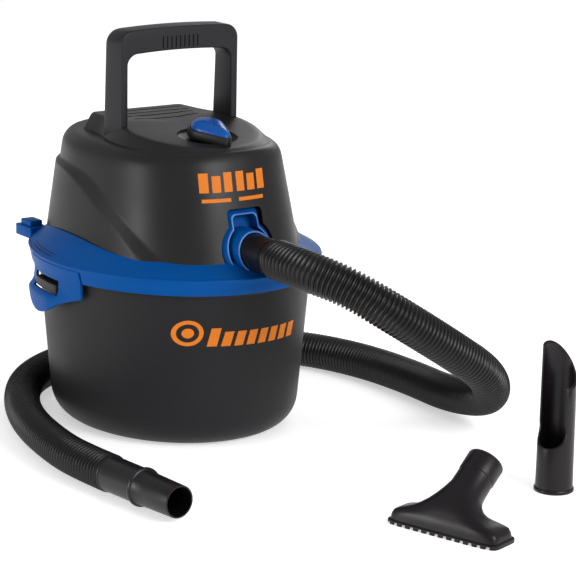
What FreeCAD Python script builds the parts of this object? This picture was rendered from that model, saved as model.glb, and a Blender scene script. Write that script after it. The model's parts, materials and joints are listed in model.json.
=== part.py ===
import FreeCAD, Part
import math
import os

# Small wet and dry shop vacuum, in millimetres. +Z is up and the hose port faces -Y. The origin is
# the centre of the tank's base, where it stands on the floor.

V = FreeCAD.Vector
Z = V(0, 0, 1)
os.makedirs("parts", exist_ok=True)

# ---- driving dimensions ------------------------------------------------------------------------
NARROW = 0.861             # width over length of the oval tank and collar

TANK_BASE_B = 142.0        # half length of the oval at the floor, before the base rounding
TANK_TAPER = 0.0943        # growth of the half length per mm of height
TANK_TOP = 172.0
TANK_WALL = 2.5
BASE_ROUND = 32.0
BEAD_B = 160.5             # half length of the rim bead
BEAD_LOW = 167.0

BAND_LOW = 165.5           # lower edge of the collar's band
BAND_B = 166.0
RIDGE_Z = 182.0            # widest line of the collar
RIDGE_B = 169.5
SKIRT_TOP_Z = 207.0        # where the sloping skirt would end without the head in it
SKIRT_TOP_B = 120.0
SKIN = 3.0
PAN_LOW = 183.0            # floor plate of the collar, which carries the motor
PAN_TOP = 186.0
CHANNEL_LOW = 176.0        # underside of the gasket channel
CHANNEL_B = (150.0, 162.5)

HEAD_N = 2.35              # exponent of the head's rounded outline
HEAD_CY = 2.0
HEAD_REF = 195.0           # height at which the next three half sizes hold
HEAD_A = 111.0
HEAD_FRONT = 147.0
HEAD_BACK = 151.0
HEAD_LEAN = (0.14, 0.28, 0.125)      # inward lean of side, front and back per mm of height
SHOULDER_LOW = 284.0
SHOULDER_TOP = 299.0
SHOULDER_IN = (14.0, 5.0, 9.0)       # how far side, front and back turn in over the shoulder
HEAD_WALL = 2.8

DECK_FLOOR = 296.0
DECK_TOP = 316.0
DECK_FOLD = 5.0            # y where the flat of the deck ends and the slope towards the front starts
DECK_SLOPE = 0.125
DECK_BASE = [(65, 80), (65, 40), (84, 0), (80, -55), (70, -86), (34, -112)]
DECK_CREST = [(55, 78), (56, 40), (57, 5), (60, -50), (50, -80), (25, -103)]
DECK_BASE_FRONT = -116.0
DECK_CREST_FRONT = -108.0
SLOT_Y = [63.0, 47.0, 33.0, 16.0]
SLOT_HALF = 45.0
SLOT_WIDE = 3.2

KNOB_Y = -62.0
KNOB_R = 18.0
KNOB_TIP = 37.0            # from the knob's axis to the point of the teardrop
KNOB_HIGH = 17.4
SKIRT_OUT = 2.6            # how far the black skirt stands out from the cap
STEM_R = 3.0
RUN = 0.05                 # radial clearance of a running fit

LEG_IN = 62.2              # handle legs
LEG_OUT = 70.7
LEG_FRONT = -10.0
LEG_BACK = 26.0
GRIP_BACK = 21.0
GRIP_TOP = 413.5
GRIP_LOW = 388.8
LEG_LOW = 278.0
HANDLE_TRAVEL = 63.0
GUIDE_GAP = 0.5
GUIDE_WALL = 2.5
GUIDE_LOW = 208.0

PORT_Z = 204.0             # axis of the hose port
PORT_IN = 18.6
PORT_OUT = 22.0
PORT_BACK = -118.0
TOWER_R = 27.0
TOWER_NECK = 16.0
TOWER_TOP = 241.0
ELBOW_Y = -95.0            # where the inlet turns down into the tank
ELBOW_OUT = 21.0
CUFF_R = 18.0
CUFF_WALL = 2.5
CUFF_BACK = -126.0
CUFF_END = -181.4

TAB_FRONT = -43.0          # latch tabs
TAB_BACK = 60.0
TAB_TOP = 178.0
TAB_B = 166.0
TAB_GAP = 0.8
WINDOW_Y = (-7.0, 50.0)
WINDOW_Z = (146.0, 162.0)
HINGE_X = 141.5
LUG_SHORT = 0.4            # the tank's lug stops this far short of the latch bar

HOSE_R = 19.5
HOSE_WALL = 3.0
# Route of the hose: it leaves the port, swings down to the floor on the right, lies round the back
# of the tank and comes forward again on the left.
ROUTE = [
    (0, -182, 204), (0, -224, 203), (28, -269, 190), (67, -296, 162), (124, -303, 125),
    (190, -294, 83), (236, -244, 39), (249, -163, 20), (255, -80, 20), (250, 0, 20), (226, 74, 20),
    (176, 132, 20), (109, 170, 20), (34, 184, 20), (-40, 172, 20), (-105, 130, 20),
    (-150, 64, 20), (-182, -15, 20), (-198, -103, 20), (-199.5, -155, 20), (-195.2, -199, 20),
]
END_SLEEVE = 50.0          # thick sleeve of the hose end, up to its raised lip
END_NOSE = 57.0            # nose that the tools push on to
END_SLEEVE_R = 17.4
END_NOSE_R = 15.875
END_BORE_R = 14.0
LIP_R = 19.4
LIP_LONG = 4.0

CREVICE_AT = (173.5, -415.5)
CREVICE_HIGH = 145.5
SOCKET_R = 16.0            # bore of both tools, for the hose end's nose
CREVICE_R = 18.2
CREVICE_TIP_R = 17.3
CREVICE_FACING = -80.0     # degrees; the side opening faces this way round from -Y
CREVICE_MID = 125.0        # height of the slanted end at the tool's axis
CREVICE_SLANT = 1.2        # its rise towards +Y

NOZZLE_AT = V(12.5, -457.5, 0)
NOZZLE_TURN = 17.0         # degrees that the mouth is turned from the Y axis
MOUTH_HALF = (61.0, 20.5)
MOUTH_HIGH = 12.0
NECK_TILT = 54.0           # degrees from upright
NECK_LONG = 68.5
NECK_R = 18.0
NECK_ROOT = 31.5            # where the round socket begins, from the neck's foot
TOOL_WALL = 2.0

CAGE_R = 45.0
CAGE_LOW = 95.0
CAGE_WALL = 2.0
FOAM_OUT = 53.0
FLOAT_R = 17.0
EYE_R = 13.0
HOUSING_R = 56.0
HOUSING_LOW = 191.0
HOUSING_TOP = 226.0
BEARING_R = 11.0
SHAFT_R = 4.0
ARMATURE_R = 25.3


# ---- general helpers ---------------------------------------------------------------------------
def export(name, shape):
    solids = shape.Solids
    body = solids[0] if len(solids) == 1 else Part.makeCompound(solids)
    body.exportStep(f"parts/{name}.step")
    flag = "" if body.isValid() and solids else "  NOT VALID"
    print(f"{name:20s} solids {len(solids)}  cm3 {body.Volume / 1000:8.2f}{flag}")


def ellipse(b, z):
    """Upright-stacked oval of the tank and the collar, with half length b along Y."""
    curve = Part.Ellipse(V(0, b, z), V(b * NARROW, 0, z), V(0, 0, z))
    return Part.Wire([curve.toShape()])


def oval_stack(sections):
    """Solid through (half length, z) ovals."""
    return Part.makeLoft([ellipse(b, z) for b, z in sections], True, True)


def oval_ring(outer, inner, low, high):
    ring = oval_stack([(outer, low), (outer, high)])
    return ring.cut(oval_stack([(inner, low - 1), (inner, high + 1)]))


def box(x0, x1, y0, y1, z0, z1):
    return Part.makeBox(x1 - x0, y1 - y0, z1 - z0, V(x0, y0, z0))


def cyl(r, z0, z1, x=0.0, y=0.0):
    return Part.makeCylinder(r, z1 - z0, V(x, y, z0), Z)


def tube(outer, inner, z0, z1, x=0.0, y=0.0):
    return cyl(outer, z0, z1, x, y).cut(cyl(inner, z0 - 1, z1 + 1, x, y))


def along_y(r, y0, y1, z):
    return Part.makeCylinder(r, y1 - y0, V(0, y0, z), V(0, 1, 0))


def mirror_x(shape):
    return shape.mirror(V(0, 0, 0), V(1, 0, 0))


def polygon(points):
    return Part.makePolygon([V(*p) for p in points] + [V(*points[0])])


def rounded_points(half_x, front, back, n, count):
    """Points of a rounded outline whose front and back half lengths can differ."""
    points = []
    for i in range(count):
        turn = 2 * math.pi * i / count
        c = math.cos(turn)
        s = math.sin(turn)
        x = math.copysign(abs(c) ** (2 / n), c) * half_x
        y = math.copysign(abs(s) ** (2 / n), s) * (back if s > 0 else front)
        points.append((x, y))
    return points


def closed_curve(points):
    curve = Part.BSplineCurve()
    curve.interpolate(Points=points, PeriodicFlag=True)
    return Part.Wire([curve.toShape()])


def spun(shape, count):
    """Copies of a shape, evenly turned about Z."""
    copies = []
    for i in range(count):
        copy = shape.copy()
        copy.rotate(V(0, 0, 0), Z, 360.0 * i / count)
        copies.append(copy)
    return copies


# ---- tank --------------------------------------------------------------------------------------
def tank_b(z):
    return TANK_BASE_B + TANK_TAPER * z


def tank_solid(inset, floor):
    """The tank's outer shape, or its hollow when inset and floor are given."""
    lean = math.atan(TANK_TAPER)
    steps = 7
    sections = []
    for i in range(steps + 1):
        turn = (math.pi / 2 - lean) * i / steps
        corner = BASE_ROUND * (1 - math.cos(math.pi / 2 - lean))
        centre = tank_b(corner) - BASE_ROUND * math.sin(math.pi / 2 - lean)
        z = BASE_ROUND * (1 - math.cos(turn))
        b = centre + BASE_ROUND * math.sin(turn) - inset
        sections.append((b, z + floor))
    top = TANK_TOP + (1 if floor else 0)
    sections.append((tank_b(top) - inset, top))
    return oval_stack(sections)


def tank_lug():
    """Catch on the tank's left wall, which stands in the latch's window."""
    reach = TAB_B - SKIN - LUG_SHORT
    low = WINDOW_Z[0] + 1
    high = WINDOW_Z[1] - 1
    lug = oval_stack([(reach, low), (reach, high - 4), (reach - 3, high)])
    lug = lug.cut(oval_stack([(tank_b(low) - 1, low - 1), (tank_b(high) - 1, high + 1)]))
    return lug.common(box(-200, 0, WINDOW_Y[0] + 2, WINDOW_Y[1] - 2, low - 5, high + 5))


def tank():
    shell = tank_solid(0, 0)
    bead = oval_stack([(tank_b(BEAD_LOW) - 0.5, BEAD_LOW - 3), (BEAD_B, BEAD_LOW), (BEAD_B, TANK_TOP)])
    lug = tank_lug()
    shell = shell.fuse([bead, lug, mirror_x(lug)])
    return shell.cut(tank_solid(TANK_WALL, 3.0))


# ---- head outline ------------------------------------------------------------------------------
def head_section(z, grow):
    """Outline of the motor cover at a height, grown outward by a distance."""
    half = []
    for size, lean, turn_in in zip((HEAD_A, HEAD_FRONT, HEAD_BACK), HEAD_LEAN, SHOULDER_IN):
        value = size - lean * (z - HEAD_REF) + grow
        if z > SHOULDER_LOW:
            rise = min(1.0, (z - SHOULDER_LOW) / (SHOULDER_TOP + 0.3 - SHOULDER_LOW))
            value -= turn_in * (1 - math.sqrt(1 - rise * rise))
        half.append(value)
    points = rounded_points(half[0], half[1], half[2], HEAD_N, 48)
    return closed_curve([V(x, y + HEAD_CY, z) for x, y in points])


def head_solid(low, heights, grow, drop=0.0):
    wires = [head_section(low, grow)]
    for z in heights:
        wire = head_section(z, grow)
        wire.translate(V(0, 0, -drop))
        wires.append(wire)
    return Part.makeLoft(wires, True, True)


# ---- collar ------------------------------------------------------------------------------------
def tilted_front(y_at, z_at, lean):
    """Everything in front of a plane that leans back by lean mm per mm of height."""
    span = 60.0
    low = (y_at - lean * span, z_at - span)
    high = (y_at + lean * span, z_at + span)
    outline = [(-60, low[0], low[1]), (-60, high[0], high[1]), (-60, y_at - 120, z_at + span),
               (-60, y_at - 120, z_at - span)]
    return Part.Face(polygon(outline)).extrude(V(120, 0, 0))


def port_tower(grow):
    """Keyhole-shaped surround of the hose port."""
    front = -170.0
    round_part = along_y(TOWER_R + grow, front, PORT_BACK, PORT_Z)
    neck_half = TOWER_NECK + grow
    neck = box(-neck_half, neck_half, front, PORT_BACK, PORT_Z, TOWER_TOP + grow)
    return round_part.fuse(neck).removeSplitter()


def rear_bracket():
    """Two-level hook behind the collar on the left, for the tools."""
    plate = box(-106, -84, 118, 151, 177, 189)
    plate = plate.makeFillet(3.0, [e for e in plate.Edges if abs(e.tangentAt(0).z) > 0.9])
    return plate.fuse(box(-103, -88, 124, 145, 189, 195))


def latch_cut():
    """Space for the left latch tab in the collar's band."""
    return box(-200, -90, TAB_FRONT - TAB_GAP, TAB_BACK + TAB_GAP, BAND_LOW - 5, TAB_TOP + 1.3)


def pan_bosses():
    bosses = []
    for x, y in plate_screw_places():
        bosses.append(cyl(5.0, CHANNEL_LOW, PAN_LOW + 0.5, x, y))
    return bosses


def collar():
    outer = oval_stack([(BAND_B, BAND_LOW), (RIDGE_B, RIDGE_Z), (SKIRT_TOP_B, SKIRT_TOP_Z)])
    inner = oval_stack([(BAND_B - SKIN - 0.2, BAND_LOW - 1), (RIDGE_B - SKIN - 0.5, RIDGE_Z - 2),
                        (SKIRT_TOP_B - SKIN - 1, SKIRT_TOP_Z - SKIN - 0.5)])
    channel = oval_ring(CHANNEL_B[1], CHANNEL_B[0], CHANNEL_LOW, RIDGE_Z + 8).common(outer)
    pocket_wall = head_solid(PAN_LOW, [SKIRT_TOP_Z + 2], SKIN).common(outer)
    body = outer.cut(inner).fuse([channel, pocket_wall])
    body = body.cut(head_solid(PAN_TOP, [SKIRT_TOP_Z + 5], 0.2))
    body = body.fuse([rear_bracket(), mirror_x(rear_bracket())] + pan_bosses())
    tower = port_tower(0).cut(tilted_front(-148, 185, 0.36)).common(box(-60, 60, -170, 0, PAN_LOW, 260))
    recess = box(-12.5, 12.5, -170, PORT_BACK - 4, PORT_Z + 14, TOWER_TOP - 4)
    ring = along_y(PORT_OUT, -170, PORT_BACK, PORT_Z).cut(tilted_front(-152.6, PORT_Z, 0.289))
    ring = ring.common(box(-60, 60, -170, 0, RIDGE_Z + 1, 260))
    body = body.fuse(tower.cut(recess)).fuse(ring)
    cuts = [along_y(PORT_IN, -175, PORT_BACK + 1, PORT_Z), seal_groove(), latch_cut(),
            mirror_x(latch_cut()), cyl(ELBOW_OUT + 2.0, PAN_LOW - 1, PAN_TOP + 1, 0, ELBOW_Y),
            box(-14, 14, PORT_BACK - 0.6, ELBOW_Y, PAN_LOW - 1, PAN_TOP + 1),
            cyl(EYE_R, PAN_LOW - 1, PAN_TOP + 1)]
    for x, y in cover_screw_places():
        cuts.append(cyl(2.2, PAN_LOW - 1, PAN_TOP + 1, x, y))
    for x, y in plate_screw_places():
        cuts.append(cyl(2.0, CHANNEL_LOW - 1, PAN_TOP + 1, x, y))
    return body.cut(cuts)


def seal_groove():
    ring = along_y(PORT_IN + 1.6, -137, -134, PORT_Z)
    return ring.cut(along_y(PORT_IN - 1, -138, -133, PORT_Z))


def port_seal():
    ring = along_y(PORT_IN + 1.6, -137, -134, PORT_Z)
    return ring.cut(along_y(CUFF_R, -138, -133, PORT_Z))


def lid_gasket():
    return oval_ring(161.0, 154.0, TANK_TOP + 0.2, CHANNEL_LOW)


# ---- latches -----------------------------------------------------------------------------------
def latch():
    """Left latch: a flexible tab with a window for the tank's lug and a finger lip."""
    outer = oval_stack([(TAB_B, 115), (TAB_B, BAND_LOW), (TAB_B + 2.2, TAB_TOP)])
    inner = oval_stack([(TAB_B - SKIN, 114), (TAB_B - SKIN, BAND_LOW), (TAB_B - SKIN + 2.4, TAB_TOP + 1)])
    outline = [(TAB_FRONT, TAB_TOP), (TAB_FRONT, 148), (-12, 141), (-2, 134), (8, 127), (18, 124),
               (28, 124), (38, 127), (48, 135), (TAB_BACK, 142), (TAB_BACK, TAB_TOP)]
    side = Part.Face(polygon([(-200, y, z) for y, z in outline])).extrude(V(150, 0, 0))
    tab = outer.cut(inner).common(side)
    lip = box(-148, -138, 8, 38, 124, 127).common(oval_stack([(TAB_B + 6, 123), (TAB_B + 6, 128)]))
    lip = lip.cut(oval_stack([(TAB_B - SKIN, 120), (TAB_B - SKIN, 130)]))
    window = box(-200, -90, WINDOW_Y[0], WINDOW_Y[1], WINDOW_Z[0], WINDOW_Z[1])
    return tab.fuse(lip).cut(window)


# ---- motor cover -------------------------------------------------------------------------------
def deck_z(y):
    return DECK_TOP - DECK_SLOPE * max(0.0, DECK_FOLD - y)


def deck_wire(side, front, z, grow):
    right = [(x + grow, y) for x, y in side]
    right[0] = (right[0][0], right[0][1] + grow)
    left = [(-x, y) for x, y in reversed(right)]
    return polygon([(x, y, z) for x, y in right + [(0, front - grow)] + left])


def deck(grow):
    """Raised deck on the head. A negative grow gives the hollow under its skin."""
    low = DECK_FLOOR - (8 if grow else 0)
    body = Part.makeLoft([deck_wire(DECK_BASE, DECK_BASE_FRONT, low, grow),
                          deck_wire(DECK_CREST, DECK_CREST_FRONT, DECK_TOP, grow)], True, True)
    top = DECK_TOP + grow
    slope = [(-150, DECK_FOLD, top), (-150, -200, top - DECK_SLOPE * (DECK_FOLD + 200)),
             (-150, -200, top + 40), (-150, 150, top + 40), (-150, 150, top)]
    return body.cut(Part.Face(polygon(slope)).extrude(V(300, 0, 0)))


def on_deck(shape):
    """Moves a shape from the knob's own frame to its place on the sloping deck."""
    moved = shape.copy()
    moved.rotate(V(0, 0, 0), V(1, 0, 0), math.degrees(math.atan(DECK_SLOPE)))
    moved.translate(V(0, KNOB_Y, deck_z(KNOB_Y)))
    return moved


def cover_screw_places():
    return [(78.0, 78.0), (-78.0, 78.0), (78.0, -78.0), (-78.0, -78.0)]


def screw_post(x, y):
    """Post for a cover screw, with a web that ties it to the cover's wall."""
    web = box(0, 60, -1.5, 1.5, PAN_TOP + 6, PAN_TOP + 28)
    web.rotate(V(0, 0, 0), Z, math.degrees(math.atan2(y, x)))
    web.translate(V(x, y, 0))
    return cyl(5.0, PAN_TOP, PAN_TOP + 30, x, y).fuse(web)


def leg_slot(gap, low, high):
    return box(LEG_IN - gap, LEG_OUT + gap, LEG_FRONT - gap, LEG_BACK + gap, low, high)


def cover_hollow():
    heights = [SHOULDER_LOW, 289, 293, 296, 298]
    hollow = head_solid(PAN_TOP - 1, heights, -HEAD_WALL, HEAD_WALL)
    return hollow.fuse(deck(-HEAD_WALL))


def grille_opening(gap):
    return box(-32 - gap, 32 + gap, 120, 160, 222 - gap, 262 + gap)


def motor_cover():
    outside = head_solid(PAN_TOP, [SHOULDER_LOW, 289, 293, 296, 298, SHOULDER_TOP], 0)
    outside = outside.fuse(deck(0))
    hollow = cover_hollow()
    shell = outside.cut(hollow)
    posts = [screw_post(x, y).common(hollow) for x, y in cover_screw_places()]
    boss = on_deck(cyl(31.0, -6.5, -1.0)).common(hollow)
    shell = shell.fuse(posts + [boss])
    cuts = [port_tower(0.6), grille_opening(0.2), leg_slot(GUIDE_GAP, 280, 330),
            mirror_x(leg_slot(GUIDE_GAP, 280, 330)), on_deck(cyl(28.0, -2.0, 5.0)),
            on_deck(cyl(8.2, -10.0, 5.0)),
            Part.makeCylinder(9.0, 60, V(50, 120, 212), V(0, 1, 0))]
    for y in SLOT_Y:
        cuts.append(box(-SLOT_HALF, SLOT_HALF, y - SLOT_WIDE / 2, y + SLOT_WIDE / 2, 308, 320))
    for x, y in cover_screw_places():
        cuts.append(cyl(1.8, PAN_TOP - 1, PAN_TOP + 16, x, y))
    return shell.cut(cuts)


def exhaust_grille():
    """Louvred panel set into the back of the cover."""
    outside = head_solid(PAN_TOP, [SHOULDER_LOW], 0)
    panel = outside.cut(head_solid(PAN_TOP - 1, [SHOULDER_LOW + 1], -HEAD_WALL)).common(grille_opening(0))
    slots = []
    for i in range(6):
        z = 226.5 + 6 * i
        slots.append(box(-28, 28, 120, 160, z, z + 3))
    return panel.cut(slots)


def cover_screws():
    screws = []
    for x, y in cover_screw_places():
        screws.append(cyl(1.8, PAN_LOW, PAN_TOP + 14, x, y).fuse(cyl(4.0, PAN_LOW - 3, PAN_LOW, x, y)))
    return Part.makeCompound(screws)


def cord_gland():
    """Strain-relief bush in the back wall, where the mains lead would enter."""
    bush = Part.makeCylinder(9.0, 19, V(50, 132, 212), V(0, 1, 0))
    flange = Part.makeCylinder(11.0, 3, V(50, 147, 212), V(0, 1, 0))
    return bush.fuse(flange).cut(Part.makeCylinder(3.6, 40, V(50, 120, 212), V(0, 1, 0)))


# ---- handle ------------------------------------------------------------------------------------
def handle_face(outer_x, low_z, corner_z, corner_x, side_z, centre_z):
    """Arch outline: legs, rounded corners and a slightly crowned top."""
    bend = 0.7071
    rx = outer_x - corner_x
    rz = side_z - corner_z
    right_mid = V(corner_x + bend * rx, 0, corner_z + bend * rz)
    left_mid = V(-right_mid.x, 0, right_mid.z)
    a = V(outer_x, 0, low_z)
    b = V(outer_x, 0, corner_z)
    c = V(corner_x, 0, side_z)
    d = V(-corner_x, 0, side_z)
    e = V(-outer_x, 0, corner_z)
    f = V(-outer_x, 0, low_z)
    edges = [Part.LineSegment(a, b), Part.Arc(b, right_mid, c), Part.Arc(c, V(0, 0, centre_z), d),
             Part.Arc(d, left_mid, e), Part.LineSegment(e, f), Part.LineSegment(f, a)]
    return Part.Face(Part.Wire([edge.toShape() for edge in edges]))


def handle():
    deep = LEG_BACK - LEG_FRONT
    arch = handle_face(LEG_OUT, LEG_LOW, 398.5, 57, 411.9, GRIP_TOP).extrude(V(0, deep, 0))
    gap = handle_face(LEG_IN, LEG_LOW - 1, 374.3, 49, 387.3, GRIP_LOW).extrude(V(0, deep, 0))
    body = arch.cut(gap)
    body.translate(V(0, LEG_FRONT, 0))
    slope = [(-100, GRIP_BACK, 398.5), (-100, LEG_BACK, 300), (-100, LEG_BACK + 20, 300),
             (-100, LEG_BACK + 20, 430), (-100, GRIP_BACK, 430)]
    body = body.cut(Part.Face(polygon(slope)).extrude(V(200, 0, 0)))
    grooves = []
    for i in range(9):
        x = -21 + 5.2 * i
        grooves.append(box(x - 0.8, x + 0.8, LEG_FRONT - 1, LEG_FRONT + 0.8, 391.5, 403.5))
    return body.cut(grooves)


def handle_guides():
    """Square tubes under the cover that the handle's legs slide in."""
    wall = GUIDE_GAP + GUIDE_WALL
    guide = leg_slot(wall, GUIDE_LOW, 310).cut(leg_slot(GUIDE_GAP, GUIDE_LOW - 1, 311))
    guide = guide.common(cover_hollow())
    return Part.makeCompound(guide.Solids + mirror_x(guide).Solids)


# ---- knob and switch ---------------------------------------------------------------------------
def teardrop(r, tip, z0, z1):
    """Round knob drawn out to a point along -Y."""
    reach = tip - 6.0
    turn = math.asin((r - 5.0) / reach)
    big = V(r * math.cos(turn), -r * math.sin(turn), 0)
    small = V(5.0 * math.cos(turn), -reach - 5.0 * math.sin(turn), 0)
    edges = [Part.Arc(big, V(0, r, 0), V(-big.x, big.y, 0)),
             Part.LineSegment(V(-big.x, big.y, 0), V(-small.x, small.y, 0)),
             Part.Arc(V(-small.x, small.y, 0), V(0, -reach - 5.0, 0), small),
             Part.LineSegment(small, big)]
    shape = Part.Face(Part.Wire([edge.toShape() for edge in edges])).extrude(V(0, 0, z1 - z0))
    shape.translate(V(0, 0, z0))
    return shape


def knob_cap():
    cap = teardrop(KNOB_R, KNOB_TIP, 3.0, KNOB_HIGH)
    top_edges = [e for e in cap.Edges if min(v.Z for v in e.Vertexes) > KNOB_HIGH - 0.1]
    cap = cap.makeFillet(4.0, top_edges)
    return on_deck(cap.cut(cyl(STEM_R, 0, 12.0)))


def knob_skirt():
    skirt = teardrop(KNOB_R + SKIRT_OUT, KNOB_TIP + SKIRT_OUT, 0.5, 8.5)
    hub = cyl(7.8, -4.0, 1.0)
    skirt = skirt.cut(teardrop(KNOB_R, KNOB_TIP, 3.0, 10.0)).fuse(hub)
    return on_deck(skirt.cut(cyl(STEM_R, -10.0, 10.0)))


def switch_shaft():
    return on_deck(cyl(STEM_R, -26.0, 12.0))


def switch_body():
    body = box(-15, 15, -14, 16, -36, -12).fuse(cyl(9.0, -13, -6.5).cut(cyl(STEM_R + RUN, -40, 0)))
    terminals = [box(x - 2, x + 2, 3, 4, -42, -35.5) for x in (-9, 0, 9)]
    return on_deck(body.fuse(terminals).cut(cyl(STEM_R + RUN, -28, 0)))


# ---- motor and blower --------------------------------------------------------------------------
def plate_screw_places():
    return [(61.0 * math.cos(t), 61.0 * math.sin(t)) for t in map(math.radians, (90, 210, 330))]


def motor_plate():
    plate = tube(66.0, EYE_R + 1.0, PAN_TOP, 189.5)
    return plate.cut([cyl(2.0, 180, 195, x, y) for x, y in plate_screw_places()])


def plate_screws():
    screws = []
    for x, y in plate_screw_places():
        screws.append(cyl(2.0, 178, 189.5, x, y).fuse(cyl(3.6, 189.5, 192.5, x, y)))
    return Part.makeCompound(screws)


def blower_housing():
    can = cyl(HOUSING_R, HOUSING_LOW, HOUSING_TOP).cut(cyl(HOUSING_R - 2, HOUSING_LOW + 2, HOUSING_TOP - 2))
    can = can.fuse(cyl(14.0, HOUSING_TOP - 0.5, 233.0))
    outlets = spun(box(40, 70, -9, 9, 216, 222), 8)
    return can.cut([cyl(14.0, 185, 200), cyl(BEARING_R, HOUSING_TOP, 240), cyl(9.0, 215, 230)] + outlets)


def impeller():
    back = cyl(50.0, 212.5, 214.0)
    front = tube(50.0, 15.0, 198.0, 199.5)
    hub = cyl(10.0, 198.0, 214.0)
    blade = box(8.0, 49.0, -0.8, 0.8, 199.0, 213.0)
    blade.rotate(V(14, 0, 0), Z, 22)
    return hub.fuse([back, front] + spun(blade, 7)).cut(cyl(SHAFT_R, 190, 220))


def impeller_nut():
    corners = []
    for i in range(6):
        turn = math.radians(60 * i)
        corners.append((6.4 * math.cos(turn), 6.4 * math.sin(turn), 194.0))
    nut = Part.Face(polygon(corners)).extrude(V(0, 0, 4.0))
    return nut.cut(cyl(SHAFT_R, 190, 200))


def bearings():
    lower = tube(BEARING_R, SHAFT_R + RUN, HOUSING_TOP, 233.0)
    upper = tube(BEARING_R, SHAFT_R + RUN, 279.0, 286.0)
    return Part.makeCompound([lower, upper])


def armature():
    core = tube(ARMATURE_R, SHAFT_R, 236.0, 262.0)
    core = core.cut(spun(box(17, 23.5, -1.5, 1.5, 230, 270), 12) + spun(box(22, 30, -0.8, 0.8, 230, 270), 12))
    windings = tube(21.0, 8.0, 262.0, 265.0).fuse(core)
    return windings.fuse(tube(21.0, 8.0, 234.5, 236.0))


def stator():
    ring = tube(44.0, ARMATURE_R + 1.0, 236.0, 262.0)
    flats = [box(40, 60, -60, 60, 230, 270), box(-60, -40, -60, 60, 230, 270)]
    windows = []
    for turn in (90, 270):
        window = box(29, 37, -14, 14, 230, 270)
        window.rotate(V(0, 0, 0), Z, turn)
        windows.append(window)
    return ring.cut(flats + windows)


def field_coils():
    """Windings that pass through the stator's two windows and bulge at its ends."""
    coils = []
    for turn in (90, 270):
        coil = box(29.2, 36.8, -13.8, 13.8, 234.5, 263.5)
        coil = coil.fuse(box(28.0, 41.0, -16.0, 16.0, 262.0, 266.0)).fuse(box(28.0, 41.0, -16.0, 16.0, 230.0, 236.0))
        coil.rotate(V(0, 0, 0), Z, turn)
        coils.append(coil)
    return Part.makeCompound(coils)


def top_bracket():
    arm = box(-42, 42, -7, 7, 277, 280).fuse(box(-7, 7, -36, 36, 277, 280))
    posts = [cyl(4.5, 262.0, 278, x, 0) for x in (-35, 35)]
    return arm.fuse(posts + [cyl(14.0, 277, 286)]).cut([cyl(BEARING_R, 279, 290), cyl(9.0, 270, 290)])


def brush_holder(side):
    holder = box(-5, 5, 13.0, 34.0, 267.5, 277.0).cut(box(-3.1, 3.1, 10.0, 32.0, 269.0, 275.0))
    holder.rotate(V(0, 0, 0), Z, side)
    return holder


def carbon_brush(side):
    brush = box(-3.0, 3.0, 11.3, 26.0, 269.1, 274.9)
    brush.rotate(V(0, 0, 0), Z, side)
    return brush


def cooling_fan():
    fan = cyl(8.0, 289.0, 299.0).fuse([cyl(28.0, 289.0, 290.5)] + spun(box(7, 28, -0.7, 0.7, 290, 299), 9))
    return fan.cut(cyl(SHAFT_R, 280, 310))


# ---- filter and float --------------------------------------------------------------------------
def filter_cage():
    wall = tube(CAGE_R, CAGE_R - CAGE_WALL, CAGE_LOW, PAN_LOW)
    floor = cyl(CAGE_R, CAGE_LOW, CAGE_LOW + 3)
    flange = tube(55.0, CAGE_R - CAGE_WALL, PAN_LOW - 3, PAN_LOW)
    guides = spun(box(FLOAT_R + 1.0, FLOAT_R + 3.0, -1.2, 1.2, CAGE_LOW + 2, 175), 4)
    webs = spun(box(FLOAT_R + 2.0, CAGE_R - 1, -1.2, 1.2, CAGE_LOW + 2, CAGE_LOW + 14), 4)
    cage = wall.fuse([floor, flange] + guides + webs)
    windows = []
    for row in range(3):
        low = 106 + 23 * row
        windows += spun(box(30, 60, -8.5, 8.5, low, low + 18), 10)
    for window in windows:
        window.rotate(V(0, 0, 0), Z, 18)
    return cage.cut(windows)


def foam_filter():
    return tube(FOAM_OUT, CAGE_R + 0.3, CAGE_LOW + 3, PAN_LOW - 4)


def retaining_band():
    return tube(FOAM_OUT + 2.0, FOAM_OUT, 166, 172)


def float_ball():
    return Part.makeSphere(FLOAT_R, V(0, 0, CAGE_LOW + 3.0 + FLOAT_R))


def inlet_elbow():
    """Pipe from the port to the tank, turning down through the collar's pan."""
    start = V(0, CUFF_BACK + 1, PORT_Z)
    bend = PORT_Z - PAN_LOW + 2.0
    turn_at = V(0, ELBOW_Y - bend, PORT_Z)
    middle = V(0, ELBOW_Y - bend + bend * math.sin(math.pi / 4), PORT_Z - bend * (1 - math.cos(math.pi / 4)))
    turned = V(0, ELBOW_Y, PORT_Z - bend)
    low = V(0, ELBOW_Y, 166)
    edges = [Part.LineSegment(start, turn_at), Part.Arc(turn_at, middle, turned), Part.LineSegment(turned, low)]
    path = Part.Wire([edge.toShape() for edge in edges])
    outer = swept(path, start, V(0, 1, 0), ELBOW_OUT)
    elbow = outer.cut(swept(path, start, V(0, 1, 0), PORT_IN))
    return elbow.cut(along_y(PORT_OUT, -130, PORT_BACK, PORT_Z).cut(along_y(PORT_IN, -130, PORT_BACK, PORT_Z)))


# ---- hose --------------------------------------------------------------------------------------
def swept(path, start, direction, r):
    disc = Part.Face(Part.Wire([Part.Circle(start, direction, r).toShape()]))
    return path.makePipe(disc)


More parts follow.
